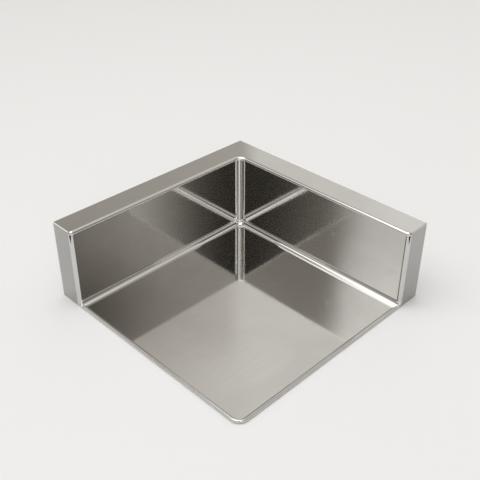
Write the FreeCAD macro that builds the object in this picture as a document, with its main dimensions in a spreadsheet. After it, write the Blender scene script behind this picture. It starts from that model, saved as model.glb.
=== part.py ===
import FreeCAD, Part
import math
import os
import re
import Sketcher

# Corner sink in folded stainless sheet: a shallow square basin with a low rolled front rim, and two
# hollow upstands along the back edges that stand against the walls of a room corner.
# Millimetres. The square footprint is centred on the origin, the worktop is z = 0, the room corner
# is towards (-X, +Y). The left upstand runs along -X, the right one is its mirror image along +Y.

SIZES = {
    "side": 400,  # outer side of the square footprint
    "height": 138,  # top of the ledges above the worktop
    "upstand_depth": 45,  # outer back face to inner wall
    "skin": 1.2,  # visible stainless sheet
    "floor_height": 3.2,  # basin floor above the worktop
    "cove_radius": 10,  # floor to inner wall
    "corner_radius": 12,  # upright corner between the inner walls
    "ledge_fold": 5,  # inner wall to ledge
    "end_fold": 6,  # inner wall to end cap
    "rim_height": 5.5,  # crest of the front rim
    "rim_radius": 2.4,  # outside of the rolled rim
    "rim_fillet": 1.6,  # rim to floor
    "front_corner_radius": 16,
    "relief_width": 2.8,  # notch at the top of each end fold, where it is widest
    "relief_height": 16,
    "relief_inset": 1.8,  # end cap's edge to the notch
    "edge_break": 0.8,  # dressed edge of the ledges
    "panel_sheet": 1.2,  # back panels
    "panel_fold": 2,  # outside radius of their top fold
    "top_flange": 20,
    "rib_sheet": 1.5,
    "rib_flange": 14,
    "rib_inset": 26,  # end cap to first rib, and last rib to the corner
    "rail_width": 25,  # flat bar along the foot of each back panel
    "rail_thickness": 4,
    "nut_across_flats": 10,  # M6 weld nut
    "nut_height": 5,
    "nut_thread_radius": 2.5,
    "bolt_hole_radius": 3.3,
    "nut_inset": 70,  # end of the rail to the nut's axis
    "rivet_radius": 1.6,
    "rivet_head_radius": 3,
    "rivet_head_depth": 0.8,
    "rivet_tail_radius": 2.5,
    "rivet_tail_length": 2.5,
    "rivet_edge": 16,  # rib end to the first and last rivet
    "rivet_clearance": 0.1,
    "angle_leg": 22,  # back corner angle
    "angle_sheet": 1.5,
    "brace_sheet": 1.5,  # diagonal rib behind the inner corner
    "backing_width": 24,  # plate under the mitre seam
    "pad_thickness": 3,  # sound pads behind the inner walls
    "pad_margin": 4,  # pad to rib
    "pad_height": 90,
    "floor_pad_thickness": 1.7,
    "floor_pad_margin": 8,  # pad to cove and rim
    "seal_width": 1.8,  # sealing cord behind the rim's roll
    "seal_height": 1.8,
    "seat": 0.3,  # clearance where a loose piece meets its neighbour
}
RIBS = 3
RIVETS_PER_RIB = 3

# Places that several pieces share, as formulas in the sheet's names. The left upstand's own.
HALF = "side / 2"
WALL = f"({HALF} - upstand_depth)"  # inner wall's face, from the centre
COVE_TOP = "(floor_height + cove_radius)"
FOLD_FOOT = "(height - ledge_fold)"  # where the inner wall meets the ledge's fold
CORNER = f"({WALL} - corner_radius)"  # upright axis of the rounded inner corner
FOLD_X = f"(-{WALL} - end_fold)"  # upright axis of the end fold
FOLD_Y = f"(-{HALF} + end_fold)"
RIM_ARCS = "(rim_radius + rim_fillet)"
RIM_DROP = f"({RIM_ARCS} - rim_height + floor_height)"
RIM_RUN = f"sqrt({RIM_ARCS} * {RIM_ARCS} - {RIM_DROP} * {RIM_DROP})"
RIM_REACH = f"(rim_radius + {RIM_RUN})"  # outer edge to the flat floor
LEDGE_UNDER = "(height - skin)"
FLANGE_UNDER = f"({LEDGE_UNDER} - panel_sheet)"
PANEL_INSIDE = f"(-{HALF} + panel_sheet)"
WALL_BACK = f"(-{WALL} - skin)"
RIB_TOP = f"({FOLD_FOOT} - seat)"
RIB_PITCH = f"(({CORNER} + {HALF} - 2 * rib_inset - rib_flange) / {RIBS - 1})"
RIVET_PITCH = f"(({RIB_TOP} - rail_thickness - 2 * rivet_edge) / {RIVETS_PER_RIB - 1})"
RAIL_END = f"{WALL}"
DIAGONAL = "sqrt(2)"

document = FreeCAD.newDocument("CornerSink")
sheet = document.addObject("Spreadsheet::Sheet", "Sizes")
for row, (alias, size) in enumerate(SIZES.items(), start=1):
    sheet.set(f"A{row}", alias)
    sheet.set(f"B{row}", str(size))
    sheet.setAlias(f"B{row}", alias)
document.recompute()


def bound(formula):
    """The formula with each size read from the sheet, for setExpression."""
    return re.sub(r"[a-z_]+", lambda word: f"Sizes.{word[0]}" if word[0] in SIZES else word[0], formula)


def number(formula):
    return float(sheet.evalExpression(bound(formula)))


def new_body(label):
    body = document.addObject("PartDesign::Body", label)
    body.Label = label
    return body


def origin(body, role):
    return next(item for item in body.Origin.OriginFeatures if item.Role == role)


def bind(feature, **formulas):
    for name, formula in formulas.items():
        feature.setExpression(name.replace("__", "."), bound(formula))


def arc(start, end, radius, turn):
    """Short arc from start to end; turn is 1 to the left, -1 to the right."""
    chord = end - start
    middle = (start + end) * 0.5
    left = FreeCAD.Vector(-chord.y, chord.x, 0).normalize()
    rise = math.sqrt(max(radius**2 - (chord.Length / 2) ** 2, 0))
    centre = middle + left * rise * turn
    first, last = (start, end) if turn > 0 else (end, start)
    angles = [math.atan2(point.y - centre.y, point.x - centre.x) for point in (first, last)]
    return Part.ArcOfCircle(Part.Circle(centre, FreeCAD.Vector(0, 0, 1), radius), *angles)


def draw(sketch, outline):
    """Closed outline. Each corner is (u, v), or (u, v, radius, turn) where an arc leaves it."""
    corners = [FreeCAD.Vector(number(u), number(v), 0) for u, v, *_ in outline]
    count = len(outline)
    first = sketch.GeometryCount
    starts = [2 if len(corner) == 4 and corner[3] < 0 else 1 for corner in outline]
    for index, (_, _, *bend) in enumerate(outline):
        ends = corners[index], corners[(index + 1) % count]
        sketch.addGeometry(arc(*ends, number(bend[0]), bend[1]) if bend else Part.LineSegment(*ends), False)
    for index, (u, v, *bend) in enumerate(outline):
        edge = first + index
        following = (index + 1) % count
        joint = (edge, 3 - starts[index], first + following, starts[following])
        sketch.addConstraint(Sketcher.Constraint("Coincident", *joint))
        sizes = {"DistanceX": u, "DistanceY": v}
        for kind, formula in sizes.items():
            place = Sketcher.Constraint(kind, -1, 1, edge, starts[index], number(formula))
            sketch.setExpression(f"Constraints[{sketch.addConstraint(place)}]", bound(formula))
        if bend:
            radius = Sketcher.Constraint("Radius", edge, number(bend[0]))
            sketch.setExpression(f"Constraints[{sketch.addConstraint(radius)}]", bound(bend[0]))


def new_sketch(body, role, outline, x="0", y="0", z="0"):
    """Sketch on one of the body's origin planes, its own origin moved by x, y, z in that plane's axes."""
    sketch = body.newObject("Sketcher::SketchObject", "Profile")
    sketch.AttachmentSupport = [(origin(body, role), "")]
    sketch.MapMode = "FlatFace"
    bind(sketch, AttachmentOffset__Base__x=x, AttachmentOffset__Base__y=y, AttachmentOffset__Base__z=z)
    draw(sketch, outline)
    return sketch


def pad(body, sketch, length, back=False, cut=False):
    kind = "Pocket" if cut else "Pad"
    feature = body.newObject(f"PartDesign::{kind}", kind)
    feature.Profile = sketch
    feature.Reversed = back
    bind(feature, Length=length)
    sketch.Visibility = False
    return feature


def turn(body, sketch, angle, axis="V_Axis", back=False, cut=False):
    kind = "Groove" if cut else "Revolution"
    feature = body.newObject(f"PartDesign::{kind}", kind)
    feature.Profile = sketch
    feature.ReferenceAxis = (sketch, [axis])
    feature.Angle = angle
    feature.Reversed = back
    sketch.Visibility = False
    return feature


def repeat(body, feature, axes):
    """Copies of a feature along one or two of the body's axes: (role, copies, pitch) each."""
    pattern = body.newObject("PartDesign::LinearPattern", "Row")
    pattern.Originals = [feature]
    for suffix, (role, copies, pitch) in zip(("", "2"), axes):
        setattr(pattern, f"Direction{suffix}", (origin(body, role), [""]))
        setattr(pattern, f"Occurrences{suffix}", copies)
        bind(pattern, **{f"Length{suffix}": f"{pitch} * {copies - 1}"})
    body.Tip = pattern
    return pattern


def mirrored(piece):
    """The right upstand's copy of a left piece, across the upright plane through the front corner."""
    document.recompute()
    label = piece.Label.replace("left", "right")
    copy = document.addObject("Part::Mirroring", label)
    copy.Label = label
    copy.Source = piece
    copy.Normal = FreeCAD.Vector(1, 1, 0)
    return copy


def box(label, length, width, height, x, y, z, angle=0):
    piece = document.addObject("Part::Box", label)
    piece.Label = label
    piece.Placement.Rotation = FreeCAD.Rotation(FreeCAD.Vector(0, 0, 1), angle)
    bind(piece, Length=length, Width=width, Height=height)
    bind(piece, Placement__Base__x=x, Placement__Base__y=y, Placement__Base__z=z)
    return piece


def wall_section(wall, foot_turn):
    """Inner wall with its cove, as a sheet: wall is its face, foot_turn 1 if the floor lies towards +u."""
    back = f"{wall} - {foot_turn} * skin"
    foot = f"{wall} + {foot_turn} * cove_radius"
    return [
        (wall, FOLD_FOOT),
        (back, FOLD_FOOT),
        (back, COVE_TOP, "cove_radius + skin", foot_turn),
        (foot, "floor_height - skin"),
        (foot, "floor_height", "cove_radius", -foot_turn),
        (wall, COVE_TOP),
    ]


def rim_section(edge, inward):
    """Front rim, rolled down and under: edge is its outer face, inward 1 if the floor lies towards +u."""
    run = f"{RIM_RUN} / {RIM_ARCS}"
    drop = f"{RIM_DROP} / {RIM_ARCS}"
    meet_u = f"{edge} + {inward} * (rim_radius + (%s) * {run})"
    meet_v = f"rim_height - rim_radius + (%s) * {drop}"
    foot = f"{edge} + {inward} * {RIM_REACH}"
    inside = f"{edge} + {inward} * skin"
    lip = f"{edge} + {inward} * rim_radius"
    crest = "rim_height - rim_radius"
    outer, inner = "rim_radius", "rim_radius - skin"
    return [
        (lip, "0", outer, -inward),
        (edge, "rim_radius"),
        (edge, crest, outer, -inward),
        (meet_u % outer, meet_v % outer, "rim_fillet", inward),
        (foot, "floor_height"),
        (foot, "floor_height - skin", "rim_fillet + skin", -inward),
        (meet_u % inner, meet_v % inner, inner, inward),
        (inside, crest),
        (inside, "rim_radius", inner, inward),
        (lip, "skin"),
    ]


def basin_pan():
    """Floor, coved inner walls, end folds and front rim: one pressed and welded sheet."""
    body = new_body("basin_pan")
    cove_foot = f"{WALL} - cove_radius"
    rim_foot = f"{HALF} - {RIM_REACH}"
    floor = [
        (f"-({cove_foot})", f"-({rim_foot})"),
        (f"{HALF} - front_corner_radius", f"-({rim_foot})", f"front_corner_radius - {RIM_REACH}", 1),
        (rim_foot, f"-{HALF} + front_corner_radius"),
        (rim_foot, cove_foot),
        (f"-{CORNER}", cove_foot, "corner_radius - cove_radius", 1),
        (f"-({cove_foot})", CORNER),
    ]
    pad(body, new_sketch(body, "XY_Plane", floor, z="floor_height - skin"), "skin")
    wall_length = f"{CORNER} - {FOLD_Y}"
    left_wall = new_sketch(body, "XZ_Plane", wall_section(f"-{WALL}", 1), z=f"-{FOLD_Y}")
    pad(body, left_wall, wall_length, back=True)
    right_wall = new_sketch(body, "YZ_Plane", wall_section(WALL, -1), z=f"-{CORNER}")
    pad(body, right_wall, wall_length)
    corner = new_sketch(body, "XZ_Plane", wall_section("-corner_radius", 1), x=f"-{CORNER}", z=f"-{CORNER}")
    turn(body, corner, 90, back=True)
    end_folds(body)
    front_rim(body)
    return body


def end_folds(body):
    """Each inner wall turns outwards round an upright fold, notched at its top, and its cove runs out."""
    for role, turned, (x, z), back in (
        ("XZ_Plane", 1, (FOLD_X, f"-{FOLD_Y}"), True),
        ("YZ_Plane", -1, (f"-{FOLD_X}", f"-{FOLD_Y}"), False),
    ):
        face = f"{turned} * end_fold"
        upright = [
            (face, "0"),
            (face, FOLD_FOOT),
            (f"{turned} * (end_fold - skin)", FOLD_FOOT),
            (f"{turned} * (end_fold - skin)", "0"),
        ]
        turn(body, new_sketch(body, role, upright, x=x, z=z), 90, back=back)
        foot = f"{turned} * (end_fold + cove_radius)"
        cove = [
            (face, COVE_TOP, "cove_radius", turned),
            (foot, "floor_height"),
            (foot, "floor_height - skin", "cove_radius + skin", -turned),
            (f"{turned} * (end_fold - skin)", COVE_TOP),
        ]
        turn(body, new_sketch(body, role, cove, x=x, z=z), 90, back=back)
        notch = [
            (f"{turned} * relief_inset", FOLD_FOOT),
            (f"{turned} * (relief_inset + relief_width / 2)", f"{FOLD_FOOT} - relief_height"),
            (f"{turned} * (relief_inset + relief_width)", FOLD_FOOT),
        ]
        pad(body, new_sketch(body, role, notch, x=x, z=HALF), "end_fold", cut=True)
    trim = [
        (f"-{HALF} - side", f"-{HALF} - side"),
        (f"{HALF} + side", f"-{HALF} - side"),
        (f"{HALF} + side", f"{HALF} + side"),
        (HALF, f"{HALF} + side"),
        (HALF, f"-{HALF}"),
        (f"-{HALF} - side", f"-{HALF}"),
    ]
    pad(body, new_sketch(body, "XY_Plane", trim), "height", back=True, cut=True)


def front_rim(body):
    """The rim runs from the left end cap round the front corner to the right end cap."""
    length = f"{HALF} - front_corner_radius - {FOLD_X}"
    straight = new_sketch(body, "YZ_Plane", rim_section(f"-{HALF}", 1), z=FOLD_X)
    pad(body, straight, length)
    centre = f"{HALF} - front_corner_radius"
    corner = new_sketch(body, "XZ_Plane", rim_section("front_corner_radius", -1), x=centre, z=centre)
    turn(body, corner, 90, back=True)
    straight = new_sketch(body, "XZ_Plane", rim_section(HALF, -1), z=centre)
    pad(body, straight, length, back=True)


def left_ledge():
    """Top of the left upstand: a flat strip with a soft fold down to the inner wall, mitred at the back."""
    body = new_body("left_ledge")
    inner = f"-{WALL} - ledge_fold"
    mitre_x = f"-{CORNER} - (corner_radius + ledge_fold) / {DIAGONAL}"
    mitre_y = f"{CORNER} + (corner_radius + ledge_fold) / {DIAGONAL}"
    flat = [
        (f"-{HALF}", f"-{HALF}"),
        (FOLD_X, f"-{HALF}"),
        (FOLD_X, f"{FOLD_Y} - end_fold + ledge_fold", "end_fold - ledge_fold", 1),
        (inner, FOLD_Y),
        (inner, CORNER, "corner_radius + ledge_fold", -1),
        (mitre_x, mitre_y),
        (f"-{HALF}", HALF),
    ]
    pad(body, new_sketch(body, "XY_Plane", flat, z=LEDGE_UNDER), "skin")
    length = f"{CORNER} - {FOLD_Y}"
    pad(body, new_sketch(body, "XZ_Plane", ledge_fold(f"-{WALL}", 1), z=f"-{FOLD_Y}"), length, back=True)
    corner = ledge_fold("-corner_radius", 1)
    turn(body, new_sketch(body, "XZ_Plane", corner, x=f"-{CORNER}", z=f"-{CORNER}"), 45, back=True)
    end = ledge_fold("end_fold", 1)
    turn(body, new_sketch(body, "XZ_Plane", end, x=FOLD_X, z=f"-{FOLD_Y}"), 90, back=True)
    dressed = [
        (f"-{HALF}", "height - edge_break"),
        (f"-{HALF} + edge_break", "height"),
        (f"-{HALF}", "height"),
    ]
    sketch = new_sketch(body, "YZ_Plane", dressed, z=f"-{HALF}")
    pad(body, sketch, f"{FOLD_X} + {HALF}", back=True, cut=True)
    return body


def ledge_fold(wall, turned):
    flat = f"{wall} - {turned} * ledge_fold"
    return [
        (wall, FOLD_FOOT, "ledge_fold", turned),
        (flat, "height"),
        (flat, LEDGE_UNDER, "ledge_fold - skin", -turned),
        (f"{wall} - {turned} * skin", FOLD_FOOT),
    ]


def left_end_cap():
    """Plate that closes the upstand's front end, between its back and the end fold."""
    length = f"{HALF} + {FOLD_X}"
    return box("left_end_cap", length, "skin", LEDGE_UNDER, f"-{HALF}", f"-{HALF}", "0")


def rivet_section(grow):
    """Half of a flush blind rivet along +u, from its head in the panel's face to its tail."""
    shank_end = "panel_sheet + rib_sheet"
    return [
        ("0", "0"),
        ("0", f"rivet_head_radius + {grow}"),
        ("rivet_head_depth", f"rivet_radius + {grow}"),
        (shank_end, f"rivet_radius + {grow}"),
        (shank_end, f"rivet_tail_radius + {grow}"),
        (f"{shank_end} + rivet_tail_length", f"rivet_tail_radius + {grow}"),
        (f"{shank_end} + rivet_tail_length", "0"),
    ]


def rib_place(index):
    return f"(-{HALF} + rib_inset + {index} * {RIB_PITCH})"


def rivet_sketch(body, grow):
    """The rivets stand in the middle of each rib's back flange."""
    y = f"-({rib_place(0)} + rib_flange / 2)"
    height = "rail_thickness + rivet_edge"
    return new_sketch(body, "XZ_Plane", rivet_section(grow), x=f"-{HALF}", y=height, z=y)


RIVET_GRID = (("Y_Axis", RIBS, RIB_PITCH), ("Z_Axis", RIVETS_PER_RIB, RIVET_PITCH))


def left_back_panel():
    """Folded panel against the room's wall, with a flange at its top that the ledge lies on."""
    body = new_body("left_back_panel")
    inner_fold = "panel_fold - panel_sheet"
    section = [
        (f"-{HALF}", "0"),
        (PANEL_INSIDE, "0"),
        (PANEL_INSIDE, f"{LEDGE_UNDER} - panel_fold", inner_fold, -1),
        (f"-{HALF} + panel_fold", FLANGE_UNDER),
        (f"-{HALF} + top_flange", FLANGE_UNDER),
        (f"-{HALF} + top_flange", LEDGE_UNDER),
        (f"-{HALF} + panel_fold", LEDGE_UNDER, "panel_fold", 1),
        (f"-{HALF}", f"{LEDGE_UNDER} - panel_fold"),
    ]
    length = "side - skin"
    pad(body, new_sketch(body, "XZ_Plane", section, z=f"{HALF} - skin"), length, back=True)
    mitre = [
        (f"-{HALF} - panel_sheet", f"{HALF} + panel_sheet"),
        (f"-{HALF} + 2 * top_flange", f"{HALF} - 2 * top_flange"),
        (f"-{HALF} + 2 * top_flange", f"{HALF} + panel_sheet"),
    ]
    pad(body, new_sketch(body, "XY_Plane", mitre), "height", back=True, cut=True)
    hole = turn(body, rivet_sketch(body, "rivet_clearance"), 360, axis="H_Axis", cut=True)
    repeat(body, hole, RIVET_GRID)
    return body


RAIL_START = f"(-{HALF} + skin + seat)"
NUT_Y = f"({RAIL_START} + nut_inset)"
NUT_PITCH = f"({RAIL_END} - {RAIL_START} - 2 * nut_inset)"
NUT_X = f"({PANEL_INSIDE} + rail_width / 2)"


def circle_sketch(body, radius, x, y, z):
    sketch = new_sketch(body, "XY_Plane", [], z=z)
    centre = FreeCAD.Vector(number(x), number(y), 0)
    sketch.addGeometry(Part.Circle(centre, FreeCAD.Vector(0, 0, 1), number(radius)), False)
    for kind, formula in (("DistanceX", x), ("DistanceY", y)):
        place = Sketcher.Constraint(kind, -1, 1, 0, 3, number(formula))
        sketch.setExpression(f"Constraints[{sketch.addConstraint(place)}]", bound(formula))
    size = sketch.addConstraint(Sketcher.Constraint("Radius", 0, number(radius)))
    sketch.setExpression(f"Constraints[{size}]", bound(radius))
    return sketch


def left_base_rail():
    """Flat bar on the worktop inside the back panel's foot, bored for the hold-down screws."""
    body = new_body("left_base_rail")
    bar = [
        (PANEL_INSIDE, "0"),
        (f"{PANEL_INSIDE} + rail_width", "0"),
        (f"{PANEL_INSIDE} + rail_width", "rail_thickness"),
        (PANEL_INSIDE, "rail_thickness"),
    ]
    length = f"{RAIL_END} - {RAIL_START}"
    pad(body, new_sketch(body, "XZ_Plane", bar, z=f"-{RAIL_START}"), length, back=True)
    sketch = circle_sketch(body, "bolt_hole_radius", NUT_X, NUT_Y, "0")
    hole = pad(body, sketch, "rail_thickness", back=True, cut=True)
    repeat(body, hole, (("Y_Axis", 2, NUT_PITCH),))
    return body


def left_hold_down_nuts():
    """Two hexagonal weld nuts on the rail."""
    body = new_body("left_hold_down_nuts")
    body.AllowCompound = True
    flat = "nut_across_flats / 2"
    corner = "nut_across_flats / sqrt(3)"
    hexagon = [
        (f"{NUT_X} + {corner}", NUT_Y),
        (f"{NUT_X} + {corner} / 2", f"{NUT_Y} + {flat}"),
        (f"{NUT_X} - {corner} / 2", f"{NUT_Y} + {flat}"),
        (f"{NUT_X} - {corner}", NUT_Y),
        (f"{NUT_X} - {corner} / 2", f"{NUT_Y} - {flat}"),
        (f"{NUT_X} + {corner} / 2", f"{NUT_Y} - {flat}"),
    ]
    nut = pad(body, new_sketch(body, "XY_Plane", hexagon, z="rail_thickness"), "nut_height")
    repeat(body, nut, (("Y_Axis", 2, NUT_PITCH),))
    thread = circle_sketch(body, "nut_thread_radius", NUT_X, NUT_Y, "rail_thickness")
    thread = pad(body, thread, "nut_height", back=True, cut=True)
    repeat(body, thread, (("Y_Axis", 2, NUT_PITCH),))
    return body


def left_back_rivets():
    """Flush blind rivets that hold the ribs to the back panel."""
    body = new_body("left_back_rivets")
    body.AllowCompound = True
    rivet = turn(body, rivet_sketch(body, "0"), 360, axis="H_Axis")
    repeat(body, rivet, RIVET_GRID)
    return body


def left_rib(index):
    """Folded stiffener across the upstand, a flange on the inner wall and one on the back panel."""
    body = new_body(f"left_rib_{index + 1}")
    near = rib_place(index)
    far = f"{near} + rib_flange"
    channel = [
        (PANEL_INSIDE, near),
        (WALL_BACK, near),
        (WALL_BACK, far),
        (f"{WALL_BACK} - rib_sheet", far),
        (f"{WALL_BACK} - rib_sheet", f"{near} + rib_sheet"),
        (f"{PANEL_INSIDE} + rib_sheet", f"{near} + rib_sheet"),
        (f"{PANEL_INSIDE} + rib_sheet", far),
        (PANEL_INSIDE, far),
    ]
    pad(body, new_sketch(body, "XY_Plane", channel, z="rail_thickness"), f"{RIB_TOP} - rail_thickness")
    y = f"-({near} + rib_flange / 2)"
    section = rivet_section("rivet_clearance")
    sketch = new_sketch(body, "XZ_Plane", section, x=f"-{HALF}", y="rail_thickness + rivet_edge", z=y)
    hole = turn(body, sketch, 360, axis="H_Axis", cut=True)
    repeat(body, hole, (("Z_Axis", RIVETS_PER_RIB, RIVET_PITCH),))
    return body


def left_wall_pad(index):
    """Sound pad stuck to the back of the inner wall between two ribs."""
    y = f"{rib_place(index)} + rib_flange + pad_margin"
    length = f"{RIB_PITCH} - rib_flange - 2 * pad_margin"
    x = f"{WALL_BACK} - pad_thickness"
    z = f"({COVE_TOP} + {FOLD_FOOT} - pad_height) / 2"
    return box(f"left_wall_pad_{index + 1}", "pad_thickness", length, "pad_height", x, y, z)


def back_corner_angle():
    """Upright angle inside the room corner, behind both back panels' mitred ends."""
    body = new_body("back_corner_angle")
    x = PANEL_INSIDE
    y = f"-({PANEL_INSIDE})"
    angle = [
        (x, y),
        (x, f"{y} - angle_leg"),
        (f"{x} + angle_sheet", f"{y} - angle_leg"),
        (f"{x} + angle_sheet", f"{y} - angle_sheet"),
        (f"{x} + angle_leg", f"{y} - angle_sheet"),
        (f"{x} + angle_leg", y),
    ]
    pad(body, new_sketch(body, "XY_Plane", angle), f"{LEDGE_UNDER} - panel_fold")
    return body


def mitre_backing():
    """Strip under the mitre seam of the two ledges, from the back panels' flanges to the fold."""
    start = f"(corner_radius + ledge_fold + seat + backing_width / 2)"
    reach = f"({HALF} - top_flange - {CORNER}) * {DIAGONAL}"
    length = f"{reach} - backing_width / 2 - seat - {start}"
    x = f"-{CORNER} - ({start} + backing_width / 2) / {DIAGONAL}"
    y = f"{CORNER} + ({start} - backing_width / 2) / {DIAGONAL}"
    return box("mitre_backing", "backing_width", length, "panel_sheet", x, y, FLANGE_UNDER, angle=45)


def floor_pad():
    """Sound pad stuck under the floor, just clear of the worktop."""
    body = new_body("floor_pad")
    near = f"{WALL} - cove_radius - floor_pad_margin"
    far = f"{HALF} - {RIM_REACH} - floor_pad_margin"
    outline = [(f"-({near})", f"-({far})"), (far, f"-({far})"), (far, near), (f"-({near})", near)]
    top = "floor_height - skin"
    pad(body, new_sketch(body, "XY_Plane", outline, z=f"{top} - floor_pad_thickness"), "floor_pad_thickness")
    return body


def rim_seal():
    """Sealing cord between the front rim and the worktop, behind the roll and bent round the front corner."""
    body = new_body("rim_seal")
    outside = "(rim_radius + seat)"
    inside = f"({outside} + seal_width)"
    outer = f"{HALF} - {outside}"
    inner = f"{HALF} - {inside}"
    straight = f"{HALF} - front_corner_radius"
    end = f"({WALL} - cove_radius)"
    outline = [
        (f"-{end}", f"-({outer})"),
        (straight, f"-({outer})", f"front_corner_radius - {outside}", 1),
        (outer, f"-({straight})"),
        (outer, end),
        (inner, end),
        (inner, f"-({straight})", f"front_corner_radius - {inside}", -1),
        (straight, f"-({inner})"),
        (f"-{end}", f"-({inner})"),
    ]
    pad(body, new_sketch(body, "XY_Plane", outline, z="seat"), "seal_height")
    return body


def corner_brace():
    """Diagonal plate from the back corner angle to the back of the rounded inner corner."""
    reach = f"({HALF} - panel_sheet - angle_sheet - {CORNER}) * {DIAGONAL} - corner_radius - skin"
    length = f"{reach} - brace_sheet / 2 - 2 * seat"
    out = f"(corner_radius + skin + seat) / {DIAGONAL}"
    half_sheet = f"brace_sheet / 2 / {DIAGONAL}"
    height = f"{RIB_TOP} - {COVE_TOP}"
    x = f"-{CORNER} - {out} - {half_sheet}"
    y = f"{CORNER} + {out} - {half_sheet}"
    return box("corner_brace", "brace_sheet", length, height, x, y, COVE_TOP, angle=45)


def build():
    """Every piece of the sink, left and right."""
    pieces = [basin_pan()]
    left = [left_ledge(), left_end_cap(), left_back_panel(), left_base_rail(), left_hold_down_nuts()]
    left += [left_back_rivets()]
    left += [left_rib(index) for index in range(RIBS)]
    left += [left_wall_pad(index) for index in range(RIBS - 1)]
    pieces += left + [mirrored(piece) for piece in left]
    pieces += [back_corner_angle(), corner_brace(), mitre_backing(), floor_pad(), rim_seal()]
    return pieces


pieces = build()
document.recompute()
for item in document.Objects:
    if "Invalid" in item.State or "Error" in item.State:
        raise RuntimeError(f"{item.Label} did not compute: {item.State}")
os.makedirs("parts", exist_ok=True)
for piece in pieces:
    if piece.Shape.isNull() or not piece.Shape.isValid():
        raise RuntimeError(f"{piece.Label} has no valid shape")
    piece.Shape.exportStep(f"parts/{piece.Label}.step")
    bounds = piece.Shape.optimalBoundingBox(False, False)
    print(f"{piece.Label}: {len(piece.Shape.Solids)} solid(s), {piece.Shape.Volume:.1f} mm3, {bounds}")
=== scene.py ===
import bpy
import math
from mathutils import Matrix, Vector

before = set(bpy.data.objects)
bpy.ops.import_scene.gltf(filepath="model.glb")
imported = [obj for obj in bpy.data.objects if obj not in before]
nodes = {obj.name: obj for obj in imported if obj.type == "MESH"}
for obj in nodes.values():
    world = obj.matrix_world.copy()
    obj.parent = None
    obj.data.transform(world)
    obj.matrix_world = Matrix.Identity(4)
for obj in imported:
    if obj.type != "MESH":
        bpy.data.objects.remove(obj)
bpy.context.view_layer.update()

# ---------------------------------------------------------------- basin pan
# One sheet of 1.2 mm stainless steel, folded up along two sides with a small cove in each fold, and
# rolled down and under along the two open sides. It is satin polished once its corner is welded, so it
# mirrors softly, with fine grain along the sheet, wiped marks and faint rings of dried water.


def new_group(name, inputs, outputs):
    """A shader node group with its input and output sockets made."""
    group = bpy.data.node_groups.new(name, "ShaderNodeTree")
    for label, kind, value in inputs:
        socket = group.interface.new_socket(label, in_out="INPUT", socket_type=kind)
        socket.default_value = value
    for label, kind in outputs:
        group.interface.new_socket(label, in_out="OUTPUT", socket_type=kind)
    return group, group.nodes.new("NodeGroupInput"), group.nodes.new("NodeGroupOutput")


def add(tree, kind, **settings):
    """A node of that kind; settings are its properties, or its inputs when they start with in_."""
    node = tree.nodes.new(kind)
    for key, value in settings.items():
        if key.startswith("in_"):
            node.inputs[key[3:].replace("_", " ")].default_value = value
        else:
            setattr(node, key, value)
    return node


def math_node(tree, operation, first, second=None):
    """A Math node fed by sockets or plain numbers; returns its result."""
    node = add(tree, "ShaderNodeMath", operation=operation)
    for place, value in enumerate((first, second)):
        if value is None:
            continue
        if isinstance(value, (int, float)):
            node.inputs[place].default_value = value
        else:
            tree.links.new(value, node.inputs[place])
    return node.outputs[0]


def ranged(tree, value, low, high, to_low=0.0, to_high=1.0, smooth=True):
    """The value mapped from low..high to to_low..to_high and held at the ends."""
    node = add(tree, "ShaderNodeMapRange", interpolation_type="SMOOTHSTEP" if smooth else "LINEAR")
    ends = {"From Min": low, "From Max": high, "To Min": to_low, "To Max": to_high}
    for label, number in ends.items():
        node.inputs[label].default_value = number
    tree.links.new(value, node.inputs["Value"])
    return node.outputs["Result"]


def share(tree, value, part):
    """That part of a value, which says how strongly a mark shows."""
    return math_node(tree, "MULTIPLY", value, part)


def mixed(tree, factor, first, second, kind="RGBA"):
    """A Mix node between two sockets or constants of that kind."""
    node = add(tree, "ShaderNodeMix", data_type=kind)
    sockets = [s for s in node.inputs if s.enabled]
    for socket, value in zip(sockets, (factor, first, second)):
        if hasattr(value, "is_output"):
            tree.links.new(value, socket)
        else:
            socket.default_value = value
    return [s for s in node.outputs if s.enabled][0]


def build_brushed_grain():
    """Fine scratches of the polishing belt; Stretch is large across the grain and small along it."""
    group, given, result = new_group(
        "brushed_grain",
        (("Stretch", "NodeSocketVector", (900.0, 14.0, 900.0)),),
        (("Height", "NodeSocketFloat"), ("Streak", "NodeSocketFloat")),
    )
    place = add(group, "ShaderNodeTexCoord").outputs["Object"]
    across = add(group, "ShaderNodeVectorMath", operation="MULTIPLY")
    group.links.new(place, across.inputs[0])
    group.links.new(given.outputs["Stretch"], across.inputs[1])
    fine = add(group, "ShaderNodeTexNoise", in_Scale=3.0, in_Detail=2.0, in_Roughness=0.7)
    group.links.new(across.outputs[0], fine.inputs["Vector"])
    broad = add(group, "ShaderNodeTexNoise", in_Scale=0.32, in_Detail=3.0, in_Roughness=0.6)
    group.links.new(across.outputs[0], broad.inputs["Vector"])
    group.links.new(fine.outputs[0], result.inputs["Height"])
    group.links.new(ranged(group, broad.outputs[0], 0.34, 0.66), result.inputs["Streak"])
    return group


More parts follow.
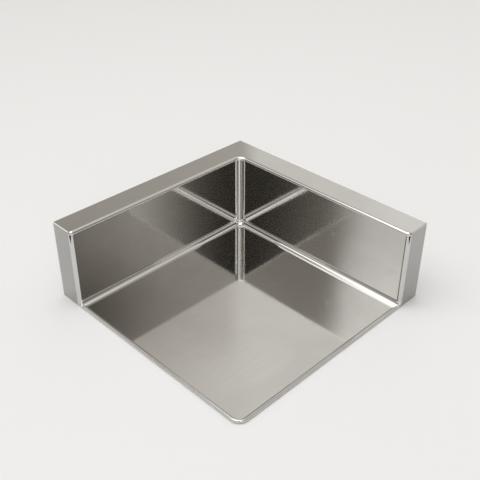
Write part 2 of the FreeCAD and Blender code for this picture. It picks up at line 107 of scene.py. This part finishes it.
def build_wiped_marks():
    """Where a cloth has wiped and where water has dried: Smear is broad, Rings are small and faint."""
    group, given, result = new_group(
        "wiped_marks",
        (("Scale", "NodeSocketFloat", 9.0), ("Rings", "NodeSocketFloat", 1.0)),
        (("Smear", "NodeSocketFloat"), ("Spots", "NodeSocketFloat")),
    )
    place = add(group, "ShaderNodeTexCoord").outputs["Object"]
    smear = add(group, "ShaderNodeTexNoise", in_Detail=4.0, in_Roughness=0.55, in_Distortion=1.4)
    group.links.new(place, smear.inputs["Vector"])
    group.links.new(given.outputs["Scale"], smear.inputs["Scale"])
    group.links.new(ranged(group, smear.outputs[0], 0.36, 0.68), result.inputs["Smear"])
    drops = add(group, "ShaderNodeTexVoronoi", feature="F1", in_Scale=34.0, in_Randomness=1.0)
    group.links.new(place, drops.inputs["Vector"])
    rim = math_node(group, "ABSOLUTE", math_node(group, "SUBTRACT", drops.outputs["Distance"], 0.15))
    ring = ranged(group, rim, 0.0, 0.035, 1.0, 0.0)
    few = add(group, "ShaderNodeTexNoise", in_Scale=11.0, in_Detail=1.0)
    group.links.new(place, few.inputs["Vector"])
    sparse = math_node(group, "MULTIPLY", ring, ranged(group, few.outputs[0], 0.56, 0.66))
    group.links.new(math_node(group, "MULTIPLY", sparse, given.outputs["Rings"]), result.inputs["Spots"])
    return group


def build_worn_and_highlit_edge():
    """Edges found by rounding the normal over Width: rubbed brighter, and on polished sheet a painted
    highlight.
    """
    group, given, result = new_group(
        "worn_and_highlit_edge",
        (("Width", "NodeSocketFloat", 0.0008),),
        (("Edge", "NodeSocketFloat"),),
    )
    rounded = add(group, "ShaderNodeBevel", samples=6)
    group.links.new(given.outputs["Width"], rounded.inputs["Radius"])
    flat = add(group, "ShaderNodeNewGeometry")
    turn = add(group, "ShaderNodeVectorMath", operation="DOT_PRODUCT")
    group.links.new(rounded.outputs["Normal"], turn.inputs[0])
    group.links.new(flat.outputs["Normal"], turn.inputs[1])
    group.links.new(ranged(group, turn.outputs["Value"], 0.995, 0.82), result.inputs["Edge"])
    return group


brushed_grain = build_brushed_grain()
wiped_marks = build_wiped_marks()
worn_and_highlit_edge = build_worn_and_highlit_edge()


def placed(tree, group, **values):
    """One use of a node group with its own values."""
    node = add(tree, "ShaderNodeGroup", node_tree=group)
    for label, value in values.items():
        node.inputs[label.replace("_", " ")].default_value = value
    return node


def grain_by_face(tree, along_y, along_x):
    """Grain that runs along each fold of a bent sheet: faces that look along Y take the second one."""
    first = placed(tree, brushed_grain, Stretch=along_y)
    second = placed(tree, brushed_grain, Stretch=along_x)
    facing = add(tree, "ShaderNodeSeparateXYZ")
    geometry = add(tree, "ShaderNodeNewGeometry")
    tree.links.new(geometry.outputs["True Normal"], facing.inputs[0])
    turned = ranged(tree, math_node(tree, "ABSOLUTE", facing.outputs["Y"]), 0.55, 0.85)
    height = mixed(tree, turned, first.outputs["Height"], second.outputs["Height"], "FLOAT")
    streak = mixed(tree, turned, first.outputs["Streak"], second.outputs["Streak"], "FLOAT")
    return height, streak


def new_finish(name, metallic=0.0):
    """A material with its node tree and its Principled shader."""
    material = bpy.data.materials.new(name)
    material.use_nodes = True
    shader = material.node_tree.nodes["Principled BSDF"]
    shader.inputs["Metallic"].default_value = metallic
    return material, material.node_tree, shader


def emboss(tree, shader, height, strength, depth):
    """Relief in the skin, depth metres deep at full strength."""
    relief = add(tree, "ShaderNodeBump", in_Strength=strength, in_Distance=depth)
    tree.links.new(height, relief.inputs["Height"])
    tree.links.new(relief.outputs["Normal"], shader.inputs["Normal"])


# How strongly each mark shows in the tone of satin steel and in its roughness, from 0 to 1.
STREAK_TONE, STREAK_DULL = 0.15, 0.08
SMEAR_MARK = 0.35
WATER_TONE, WATER_DULL = 0.10, 0.06
# The edge tone is a painted highlight along the edges of polished sheet.
EDGE_HIGHLIGHT_TONE = 0.6
DRIED_WATER = (0.80, 0.79, 0.77, 1.0)
# The pale colour of that painted edge highlight.
EDGE_HIGHLIGHT_COLOUR = (0.82, 0.81, 0.79, 1.0)
MOST_DULL = 0.8


def satin_steel(name, light, dark, rough, along_y, along_x, bump, rings=1.0):
    """Satin stainless sheet with two tones, light and dark, and rough as its range of roughness."""
    material, tree, shader = new_finish(name, metallic=1.0)
    height, streak = grain_by_face(tree, along_y, along_x)
    marks = placed(tree, wiped_marks, Scale=9.0, Rings=rings)
    edge_wear_and_highlight = placed(tree, worn_and_highlit_edge, Width=0.0007)
    tone = mixed(tree, share(tree, streak, STREAK_TONE), light, dark)
    smeared = share(tree, marks.outputs["Smear"], SMEAR_MARK)
    tone = mixed(tree, smeared, tone, dark)
    tone = mixed(tree, share(tree, marks.outputs["Spots"], WATER_TONE), tone, DRIED_WATER)
    # Every edge of the polished sheet is brightened towards a pale colour: a painted highlight along the
    # edges.
    tone = mixed(tree, share(tree, edge_wear_and_highlight.outputs["Edge"], EDGE_HIGHLIGHT_TONE), tone, EDGE_HIGHLIGHT_COLOUR)
    tree.links.new(tone, shader.inputs["Base Color"])
    dulled = math_node(tree, "ADD", share(tree, streak, STREAK_DULL), smeared)
    roughness = ranged(tree, dulled, 0.0, MOST_DULL, *rough, smooth=False)
    water = share(tree, marks.outputs["Spots"], WATER_DULL)
    tree.links.new(math_node(tree, "ADD", roughness, water), shader.inputs["Roughness"])
    emboss(tree, shader, height, bump, 0.00002)
    return material


def dress(node_name, material):
    """Gives a carried-over piece its finish."""
    mesh = nodes[node_name].data
    mesh.materials.clear()
    mesh.materials.append(material)


GRAIN_ALONG_Y = (900.0, 14.0, 900.0)
GRAIN_ALONG_X = (14.0, 900.0, 900.0)
SHEET_LIGHT = (0.66, 0.652, 0.64, 1.0)
basin_steel = satin_steel(
    "basin_steel", SHEET_LIGHT, (0.57, 0.562, 0.55, 1.0), (0.06, 0.10),
    GRAIN_ALONG_Y, GRAIN_ALONG_X, bump=0.004)
dress("basin_pan", basin_steel)

# ---------------------------------------------------------------- ledges
# Two strips of the same sheet that cap the hollow upstands, mitred at the back corner and folded down
# over the top of the basin's walls and over the end caps. They are brushed lengthwise, and a little
# smoother than the basin.
LEDGE_DARK = (0.58, 0.572, 0.56, 1.0)
LEDGE_ROUGH = (0.05, 0.08)
for ledge, finish, grain in (
        ("left_ledge", "ledge_steel", GRAIN_ALONG_Y),
        ("right_ledge", "right_ledge_steel", GRAIN_ALONG_X)):
    dress(ledge, satin_steel(
        finish, SHEET_LIGHT, LEDGE_DARK, LEDGE_ROUGH, grain, GRAIN_ALONG_X, bump=0.03, rings=0.5))

# ---------------------------------------------------------------- end caps
# Flat pieces of the same sheet that close the open ends of the two upstands. They are brushed upright
# and duller than the basin. Their darker tone is painted shade, for the shaded walls they would mirror.
GRAIN_UPRIGHT = (900.0, 900.0, 14.0)
shaded_end_cap_steel = satin_steel(
    "shaded_end_cap_steel", (0.42, 0.414, 0.403, 1.0), (0.35, 0.343, 0.333, 1.0), (0.18, 0.25),
    GRAIN_UPRIGHT, GRAIN_UPRIGHT, bump=0.04, rings=0.3)
dress("left_end_cap", shaded_end_cap_steel)
dress("right_end_cap", shaded_end_cap_steel)

# ---------------------------------------------------------------- back panels, ribs, rails and brackets
# Folded steel that is never seen once the sink stands in its corner, so it is left as it came from the
# mill: a dull grey skin with rolling marks, a few rub marks and stains, and bare bright cut edges.


# How strongly the clouds, the rolling marks and the cut edges show, from 0 to 1.
CLOUD_MARK = 0.4
ROLLED_TONE, ROLLED_DULL = 0.45, 0.3
CUT_TONE = 0.7
CUT_EDGE = (0.75, 0.75, 0.74, 1.0)


def mill_steel(name, light, dark, rough, stretch):
    """Unpolished rolled sheet: cloudy tone, long faint rolling marks, scuffs on the edges."""
    material, tree, shader = new_finish(name, metallic=1.0)
    rolled = placed(tree, brushed_grain, Stretch=stretch)
    marks = placed(tree, wiped_marks, Scale=14.0)
    edge_wear_and_highlight = placed(tree, worn_and_highlit_edge, Width=0.0009)
    cloud = share(tree, marks.outputs["Smear"], CLOUD_MARK)
    tone = mixed(tree, cloud, light, dark)
    tone = mixed(tree, share(tree, rolled.outputs["Streak"], ROLLED_TONE), tone, dark)
    tone = mixed(tree, share(tree, edge_wear_and_highlight.outputs["Edge"], CUT_TONE), tone, CUT_EDGE)
    tree.links.new(tone, shader.inputs["Base Color"])
    dulled = math_node(tree, "ADD", share(tree, rolled.outputs["Streak"], ROLLED_DULL), cloud)
    tree.links.new(ranged(tree, dulled, 0.0, 1.0, *rough, smooth=False), shader.inputs["Roughness"])
    emboss(tree, shader, rolled.outputs["Height"], 0.12, 0.00003)
    return material


PANEL_LIGHT = (0.55, 0.55, 0.54, 1.0)
PANEL_DARK = (0.40, 0.40, 0.395, 1.0)
PANEL_ROUGH = (0.32, 0.48)
for side, stretch in (("left", (420.0, 9.0, 420.0)), ("right", (9.0, 420.0, 420.0))):
    panel_steel = mill_steel(f"{side}_panel_steel", PANEL_LIGHT, PANEL_DARK, PANEL_ROUGH, stretch)
    dress(f"{side}_back_panel", panel_steel)
    dress(f"{side}_base_rail", panel_steel)
bracket_steel = mill_steel(
    "bracket_steel", (0.50, 0.50, 0.50, 1.0), (0.36, 0.36, 0.36, 1.0), (0.36, 0.52), (420.0, 420.0, 9.0))
for side in ("left", "right"):
    for place in (1, 2, 3):
        dress(f"{side}_rib_{place}", bracket_steel)
for bracket in ("back_corner_angle", "corner_brace", "mitre_backing"):
    dress(bracket, bracket_steel)

# ---------------------------------------------------------------- rivets and hold-down nuts
# Aluminium blind rivets hold the ribs to the back panels. The nuts are zinc plated steel, welded to the
# base rails, with a faint yellow cast and duller flats.


def small_metal(name, light, dark, rough):
    """Plain small hardware: blotchy skin with rubbed corners."""
    material, tree, shader = new_finish(name, metallic=1.0)
    blotch = placed(tree, wiped_marks, Scale=260.0).outputs["Smear"]
    edge_wear_and_highlight = placed(tree, worn_and_highlit_edge, Width=0.0005)
    tone = mixed(tree, blotch, light, dark)
    tone = mixed(tree, share(tree, edge_wear_and_highlight.outputs["Edge"], 0.5), tone, (0.80, 0.80, 0.78, 1.0))
    tree.links.new(tone, shader.inputs["Base Color"])
    tree.links.new(ranged(tree, blotch, 0.0, 1.0, *rough), shader.inputs["Roughness"])
    return material


rivet_aluminium = small_metal(
    "rivet_aluminium", (0.74, 0.74, 0.74, 1.0), (0.58, 0.58, 0.58, 1.0), (0.28, 0.45))
plated_nut = small_metal("plated_nut", (0.64, 0.62, 0.55, 1.0), (0.48, 0.47, 0.43, 1.0), (0.30, 0.50))
for side in ("left", "right"):
    dress(f"{side}_back_rivets", rivet_aluminium)
    dress(f"{side}_hold_down_nuts", plated_nut)

# ---------------------------------------------------------------- sound pads and rim seal
# Bitumen pads are stuck to the backs of the walls and under the floor to stop drumming: nearly black,
# matt and slightly pebbled. The seal is a cord of soft grey-black rubber behind the rim's roll.


def soft_black(name, light, dark, rough, pebble_scale, pebble_depth):
    """Matt black pad or rubber with a pebbled skin and a dusty bloom."""
    material, tree, shader = new_finish(name)
    place = add(tree, "ShaderNodeTexCoord").outputs["Object"]
    pebbles = add(
        tree, "ShaderNodeTexVoronoi", feature="SMOOTH_F1", in_Scale=pebble_scale, in_Smoothness=0.6)
    tree.links.new(place, pebbles.inputs["Vector"])
    height = pebbles.outputs["Distance"]
    marks = placed(tree, wiped_marks, Scale=24.0, Rings=0.6)
    dust = share(tree, marks.outputs["Smear"], 0.8)
    bloom = math_node(tree, "ADD", dust, marks.outputs["Spots"])
    tree.links.new(mixed(tree, bloom, dark, light), shader.inputs["Base Color"])
    tree.links.new(ranged(tree, height, 0.0, 0.8, *rough), shader.inputs["Roughness"])
    emboss(tree, shader, height, 0.5, pebble_depth)
    return material


bitumen_pad = soft_black(
    "bitumen_pad", (0.075, 0.074, 0.072, 1.0), (0.035, 0.035, 0.036, 1.0), (0.70, 0.92),
    pebble_scale=420.0, pebble_depth=0.0004)
seal_rubber = soft_black(
    "seal_rubber", (0.12, 0.12, 0.12, 1.0), (0.07, 0.07, 0.07, 1.0), (0.55, 0.75),
    pebble_scale=1500.0, pebble_depth=0.00008)
for pad in ("left_wall_pad_1", "left_wall_pad_2", "right_wall_pad_1", "right_wall_pad_2", "floor_pad"):
    dress(pad, bitumen_pad)
dress("rim_seal", seal_rubber)

# ---------------------------------------------------------------- floor
# A plain pale surface that the sink stands on, large enough to fill the picture. It lies a hair below
# the sink, so that the two don't share a plane.
FLOOR_HALF = 40.0
FLOOR_DROP = 0.0002
floor_mesh = bpy.data.meshes.new("floor")
floor_mesh.from_pydata(
    [(-FLOOR_HALF, -FLOOR_HALF, 0.0), (FLOOR_HALF, -FLOOR_HALF, 0.0),
     (FLOOR_HALF, FLOOR_HALF, 0.0), (-FLOOR_HALF, FLOOR_HALF, 0.0)], [], [(0, 1, 2, 3)])
floor = bpy.data.objects.new("floor", floor_mesh)
floor.location.z = -FLOOR_DROP
bpy.context.scene.collection.objects.link(floor)
floor_paint, _, floor_shader = new_finish("floor_paint")
floor_shader.inputs["Base Color"].default_value = (0.85, 0.857, 0.875, 1.0)
floor_shader.inputs["Roughness"].default_value = 0.6
floor_mesh.materials.append(floor_paint)

# ---------------------------------------------------------------- light
# A pale studio. It is dark where the camera stands, with a bright upright bar to each side, and paler
# behind the sink: these give polished sheet its bright and dark areas. One large soft lamp hangs above.
world = bpy.data.worlds.new("studio")
bpy.context.scene.world = world
world.use_nodes = True
sky = world.node_tree
direction = add(sky, "ShaderNodeTexCoord").outputs["Generated"]
axes = add(sky, "ShaderNodeSeparateXYZ")
sky.links.new(direction, axes.inputs[0])
bearing = math_node(sky, "ARCTAN2", axes.outputs["Y"], axes.outputs["X"])
bearing = ranged(sky, bearing, -math.pi, math.pi, smooth=False)
# Each ring gives bearings in degrees from +X towards +Y, and the brightness of the surroundings there.
# They hold from 6 to 12 degrees above the floor, from 27 to 31, at 38, and from 44 to 58.
FLOOR_RING = (
    (-180, 0.75), (-152, 0.75), (-142, 0.22), (-114, 0.22), (-104, 0.80), (12, 0.80), (24, 0.20),
    (56, 0.20), (68, 0.80), (120, 0.86), (134.9, 0.80), (135.4, 0.55), (150, 0.50))
LOW_RING = (
    (-180, 0.60), (-152, 0.60), (-149, 1.50), (-142, 1.50), (-138, 0.36), (-126.0, 0.30),
    (-124.4, 0.98), (-119, 1.08), (-112, 0.30), (-62, 0.25), (-60, 2.20), (-56, 2.20), (-54, 0.40),
    (-51, 0.25), (-48, 0.08), (-43, 0.06), (-40.5, 0.24), (-37.5, 0.80), (-34.5, 0.98), (-33, 2.30),
    (-24, 2.30), (-20, 0.35), (28, 0.28), (34, 0.47), (37, 0.54), (90, 0.87), (121, 0.91), (125, 0.83),
    (134.6, 0.79), (134.95, 0.50), (150, 0.42))
MIDDLE_RING = (
    (-180, 0.60), (-152, 0.60), (-149, 1.50), (-142, 1.50), (-138, 0.45), (-126.6, 0.34),
    (-125.5, 1.14), (-121, 1.38), (-116, 1.38), (-110, 0.40), (-62, 0.30), (-60, 2.20), (-56, 2.20),
    (-54, 0.50), (-50, 0.30), (-47, 0.08), (-43, 0.02), (-40.5, 0.32), (-37, 0.84), (-34.5, 0.98),
    (-33, 2.30), (-24, 2.30), (-20, 0.30), (31, 0.15), (34, 0.26), (38, 0.45), (42, 0.52), (90, 0.87),
    (121, 0.82), (134.9, 0.80), (135.5, 0.64), (145, 0.46))
HIGH_RING = (
    (-180, 0.45), (-160, 0.55), (-150, 1.00), (-142, 1.90), (-133, 2.20), (-112, 2.00), (-60, 1.20),
    (-54, 1.00), (-50, 0.15), (-40, 0.15), (-36, 1.00), (-30, 1.20), (20, 0.45), (40, 0.60), (60, 0.80),
    (80, 0.80), (110, 0.70), (133, 0.83), (138, 0.74), (150, 0.50))


def ring_of(levels):
    """The brightness around the sink at one height, from bearings and levels."""
    ring = add(sky, "ShaderNodeValToRGB")
    stops = ring.color_ramp.elements
    while len(stops) > 1:
        stops.remove(stops[-1])
    for place, (degrees, level) in enumerate(levels):
        turned = (degrees + 180) / 360
        stop = stops[0] if place == 0 else stops.new(turned)
        stop.position = turned
        warmth = 0.05 + 0.20 * (1 - min(level, 1))
        stop.color = (level, level * (1 - 0.35 * warmth), level * (1 - warmth), 1.0)
    sky.links.new(bearing, ring.inputs["Fac"])
    return ring.outputs["Color"]


height_up = math_node(sky, "ARCSINE", axes.outputs["Z"])


def rise(low, high):
    """A value that goes from 0 to 1 between two heights, in degrees above the floor."""
    return ranged(sky, height_up, math.radians(low), math.radians(high))


HORIZON = (0.86, 0.86, 0.85, 1.0)
CEILING = (1.20, 1.19, 1.17, 1.0)
around = mixed(sky, rise(12, 27), ring_of(FLOOR_RING), ring_of(LOW_RING))
around = mixed(sky, rise(31, 38), around, ring_of(MIDDLE_RING))
around = mixed(sky, rise(39, 44), around, ring_of(HIGH_RING))
colour = mixed(sky, rise(2, 6), HORIZON, around)
colour = mixed(sky, rise(58, 72), colour, CEILING)
sky.links.new(colour, sky.nodes["Background"].inputs["Color"])
sky.nodes["Background"].inputs["Strength"].default_value = 1.0


def soft_lamp(name, bearing_degrees, height_degrees, distance, width, depth, radiance):
    """A large rectangular lamp that faces the middle of the sink, with that radiance on its face."""
    data = bpy.data.lights.new(name, "AREA")
    data.shape = "RECTANGLE"
    data.size = width
    data.size_y = depth
    data.energy = radiance * math.pi * width * depth
    lamp = bpy.data.objects.new(name, data)
    turn, climb = math.radians(bearing_degrees), math.radians(height_degrees)
    away = Vector((math.cos(turn) * math.cos(climb), math.sin(turn) * math.cos(climb), math.sin(climb)))
    lamp.location = away * distance
    lamp.rotation_euler = away.to_track_quat("Z", "Y").to_euler()
    lamp.visible_camera = False
    bpy.context.scene.collection.objects.link(lamp)


soft_lamp(
    "top_lamp", bearing_degrees=225.0, height_degrees=80.0, distance=2.3,
    width=1.4, depth=1.4, radiance=1.6)

# ---------------------------------------------------------------- camera
# Stands in front of the open corner and looks down into the basin, with a moderately long lens. It leans
# over by a seventh of a degree.
CAMERA_PLACE = (0.686278, -0.684599, 0.743512)
LOOK_DOWN = math.radians(33.306)
LOOK_TURN = math.radians(45.059)
LEAN = math.radians(0.147)
SENSOR_WIDTH = 36.0
LENS = 56.692
SIGHT_END = 200.0
forward = Vector((
    -math.sin(LOOK_TURN) * math.cos(LOOK_DOWN), math.cos(LOOK_TURN) * math.cos(LOOK_DOWN),
    -math.sin(LOOK_DOWN)))
level_right = forward.cross(Vector((0.0, 0.0, 1.0))).normalized()
level_up = level_right.cross(forward)
right = level_right * math.cos(LEAN) + level_up * math.sin(LEAN)
up = level_up * math.cos(LEAN) - level_right * math.sin(LEAN)
camera_data = bpy.data.cameras.new("camera")
camera_data.sensor_width = SENSOR_WIDTH
camera_data.lens = LENS
camera_data.clip_end = SIGHT_END
camera = bpy.data.objects.new("camera", camera_data)
turned = Matrix((right, up, -forward)).transposed().to_4x4()
camera.matrix_world = Matrix.Translation(CAMERA_PLACE) @ turned
bpy.context.scene.collection.objects.link(camera)
bpy.context.scene.camera = camera
bpy.context.scene.view_settings.view_transform = "Standard"
